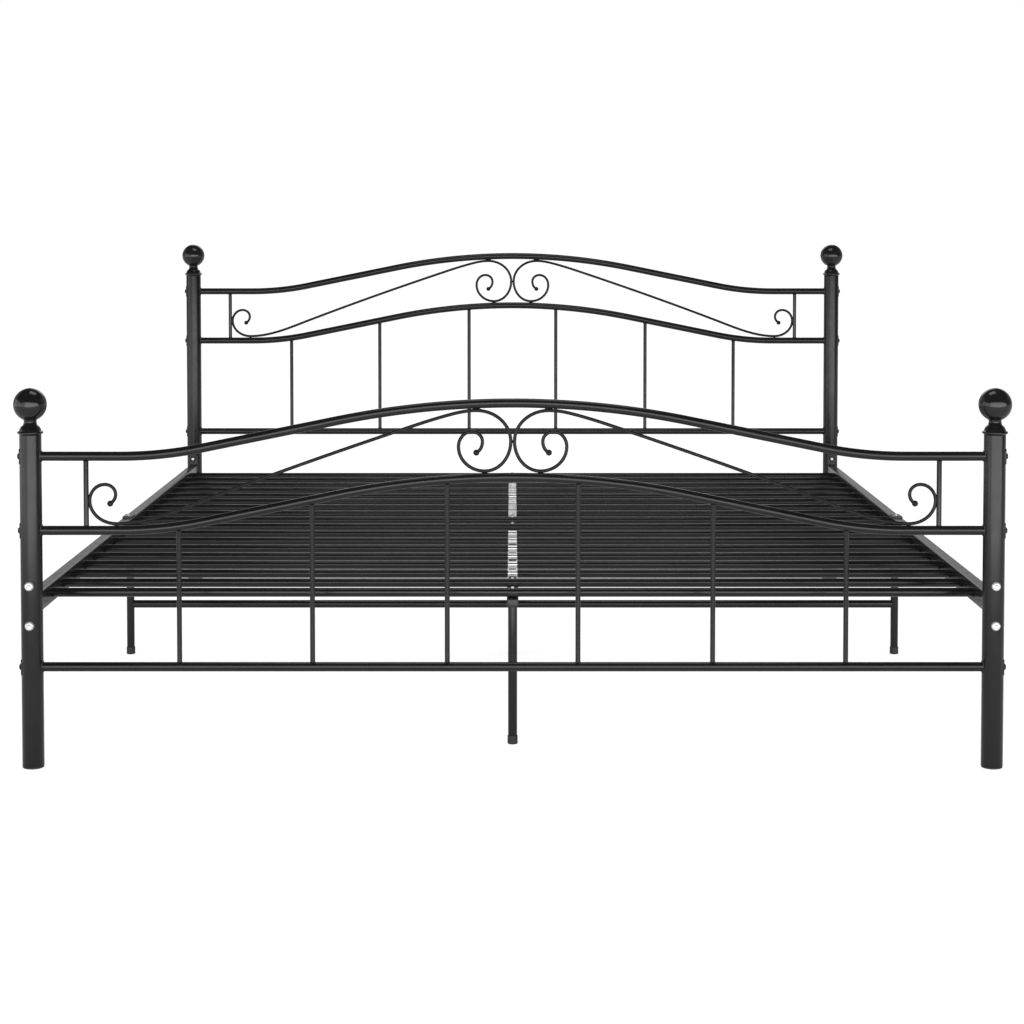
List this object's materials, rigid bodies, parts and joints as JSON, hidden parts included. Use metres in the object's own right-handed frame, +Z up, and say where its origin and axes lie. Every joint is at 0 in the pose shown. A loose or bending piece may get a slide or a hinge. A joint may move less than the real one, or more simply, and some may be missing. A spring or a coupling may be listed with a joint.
{
  "type": "metal bed frame",
  "caption": "Black metal bed frame with arched head and foot panels, scrollwork, round posts with ball finials and a deck of round cross slats.",
  "frame": {"origin": "on the floor under the middle of the bed's footprint", "axes": "+Z up, +Y from the footboard to the headboard, X across the bed"},
  "size_m": [1.924, 2.104, 0.98],
  "materials": {
    "powder_coat": "satin black powder coat on steel tube",
    "black_plastic": "glossy black moulded plastic",
    "glide_plastic": "black moulded plastic, matt",
    "zinc": "bright zinc plate on steel fasteners"
  },
  "bodies": {
    "root": {"centre_bracket_foot": "powder_coat", "centre_bracket_head": "powder_coat", "centre_bracket_middle": "powder_coat", "centre_leg_foot": "powder_coat", "centre_leg_head": "powder_coat", "centre_leg_middle": "powder_coat", "cross_brace_left": "powder_coat", "cross_brace_right": "powder_coat", "deck_slat_01": "powder_coat", "deck_slat_02": "powder_coat", "deck_slat_03": "powder_coat", "deck_slat_04": "powder_coat", "deck_slat_05": "powder_coat", "deck_slat_06": "powder_coat", "deck_slat_07": "powder_coat", "deck_slat_08": "powder_coat", "deck_slat_09": "powder_coat", "deck_slat_10": "powder_coat", "deck_slat_11": "powder_coat", "deck_slat_12": "powder_coat", "deck_slat_13": "powder_coat", "deck_slat_14": "powder_coat", "deck_slat_15": "powder_coat", "deck_slat_16": "powder_coat", "deck_slat_17": "powder_coat", "deck_slat_18": "powder_coat", "foot_finial_left": "black_plastic", "foot_finial_right": "black_plastic", "foot_glide_left": "glide_plastic", "foot_glide_right": "glide_plastic", "foot_lower_rail": "powder_coat", "foot_middle_rail": "powder_coat", "foot_post_left": "powder_coat", "foot_post_right": "powder_coat", "foot_rail_bolt_left_lower": "zinc", "foot_rail_bolt_left_upper": "zinc", "foot_rail_bolt_right_lower": "zinc", "foot_rail_bolt_right_upper": "zinc", "foot_scrollwork_left": "powder_coat", "foot_scrollwork_right": "powder_coat", "foot_top_rail": "powder_coat", "head_finial_left": "black_plastic", "head_finial_right": "black_plastic", "head_glide_left": "glide_plastic", "head_glide_right": "glide_plastic", "head_lower_rail": "powder_coat", "head_middle_rail": "powder_coat", "head_post_left": "powder_coat", "head_post_right": "powder_coat", "head_rail_bolt_left_lower": "zinc", "head_rail_bolt_left_upper": "zinc", "head_rail_bolt_right_lower": "zinc", "head_rail_bolt_right_upper": "zinc", "head_scrollwork_left": "powder_coat", "head_scrollwork_right": "powder_coat", "head_top_rail": "powder_coat", "mid_leg_left": "powder_coat", "mid_leg_right": "powder_coat", "side_rail_left": "powder_coat", "side_rail_right": "powder_coat"}
  },
  "joints": []
}
